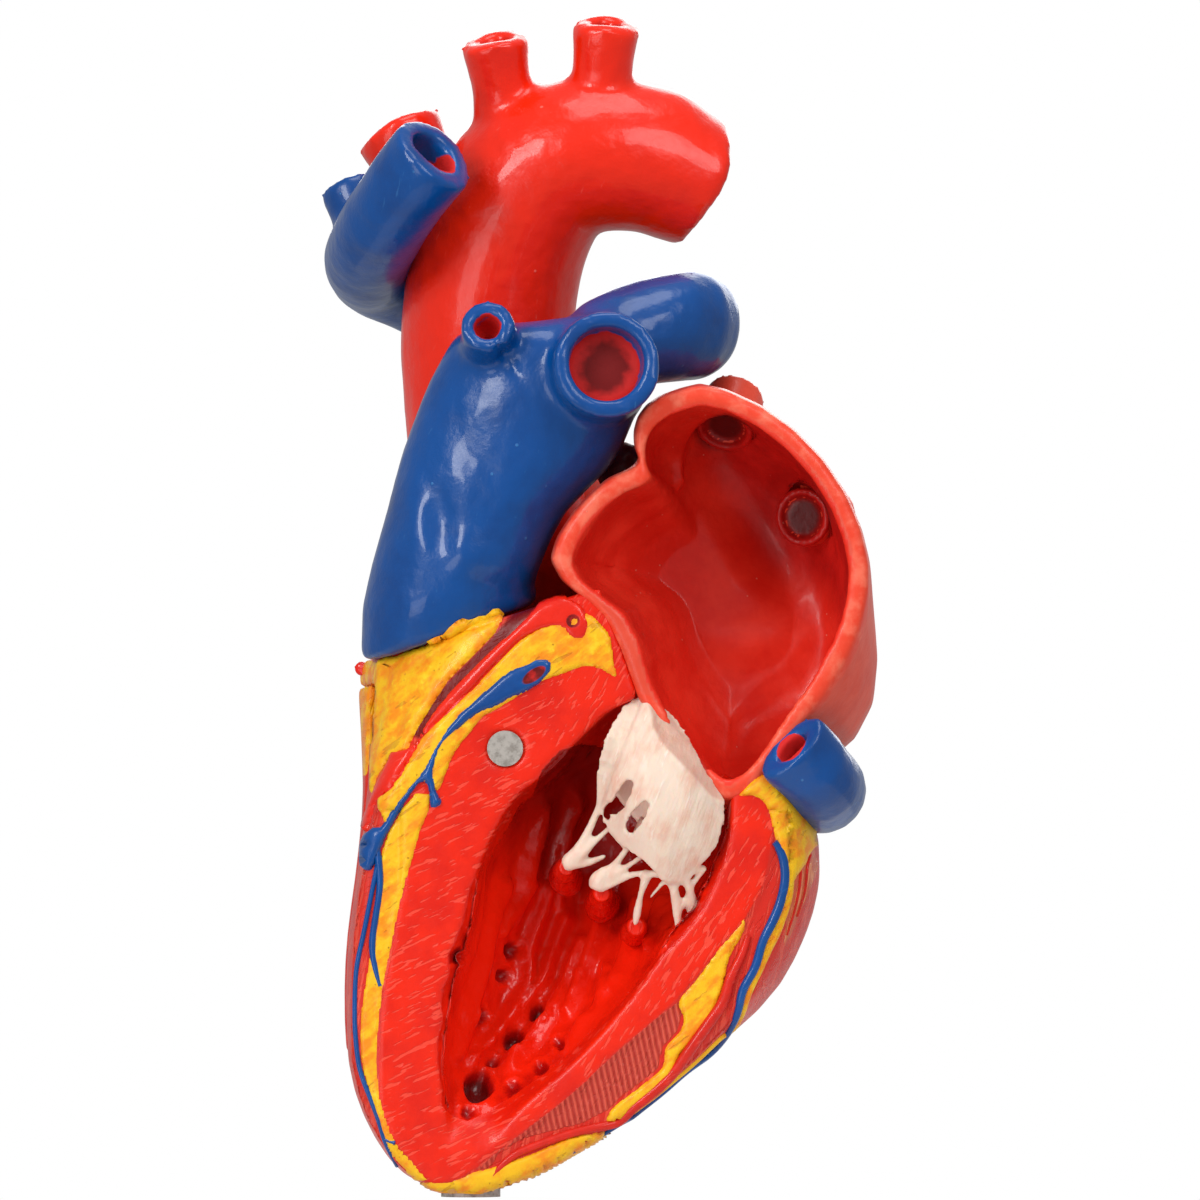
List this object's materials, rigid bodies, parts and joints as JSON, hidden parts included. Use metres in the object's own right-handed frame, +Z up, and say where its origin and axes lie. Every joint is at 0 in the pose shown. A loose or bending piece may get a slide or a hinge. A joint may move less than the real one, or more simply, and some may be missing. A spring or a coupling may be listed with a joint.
{
  "type": "heart anatomy model",
  "caption": "Anatomical heart teaching model seen from the left, cut open to show the left atrium, the mitral valve and the left ventricle, with lift-off great vessels and right wall.",
  "frame": {"origin": "centre of the mouth of the stand socket, under the apex", "axes": "+Z up along the stand socket, +X from the front of the chest to the back, +Y away from the cut face into the heart"},
  "size_m": [0.1506, 0.1365, 0.3173],
  "materials": {
    "muscle": "painted vinyl, glossy",
    "atrium": "painted vinyl, satin",
    "artery": "painted vinyl, glossy",
    "vein": "painted vinyl, glossy",
    "fat": "hand painted vinyl, satin",
    "valve": "soft cream vinyl",
    "steel": "nickel plated"
  },
  "bodies": {
    "heart": {"heart_body": "muscle", "heart_apex": "muscle", "left_atrium": "atrium", "right_atrium": "atrium", "inferior_vena_cava": "vein", "pulmonary_veins": "atrium", "coronary_sinus": "vein", "mitral_front_leaflet": "valve", "mitral_rear_leaflet": "valve", "mitral_strings": "valve", "papillary_muscles": "muscle", "aortic_valve": "valve", "pulmonary_valve": "valve", "tricuspid_valve": "valve", "tricuspid_strings": "valve", "anterior_descending_artery": "artery", "great_cardiac_vein": "vein", "marginal_artery": "artery", "marginal_vein": "vein", "right_coronary_artery": "artery", "middle_cardiac_vein": "vein", "conus_fat": "fat", "groove_fat": "fat", "septal_fat": "fat", "apex_fat": "fat", "face_magnet": "steel", "seat_magnets": "steel", "locating_pins": "steel", "stand_socket": "steel"},
    "great_vessels": {"aorta": "artery", "superior_vena_cava": "vein"},
    "trunk_piece": {"pulmonary_trunk": "vein"},
    "right_wall_piece": {"right_ventricle_wall": "muscle", "wall_magnets": "steel"}
  },
  "joints": [
    {"name": "great_vessels_lift", "type": "slide", "parent": "heart", "child": "great_vessels", "axis": [0, 0, 1], "range_m": [0, 0.08]},
    {"name": "trunk_lift_off", "type": "slide", "parent": "heart", "child": "trunk_piece", "axis": [0, -1, 0], "range_m": [0, 0.08]},
    {"name": "right_wall_lift_off", "type": "slide", "parent": "heart", "child": "right_wall_piece", "axis": [-0.7071, 0.7071, 0], "range_m": [0, 0.06]}
  ]
}
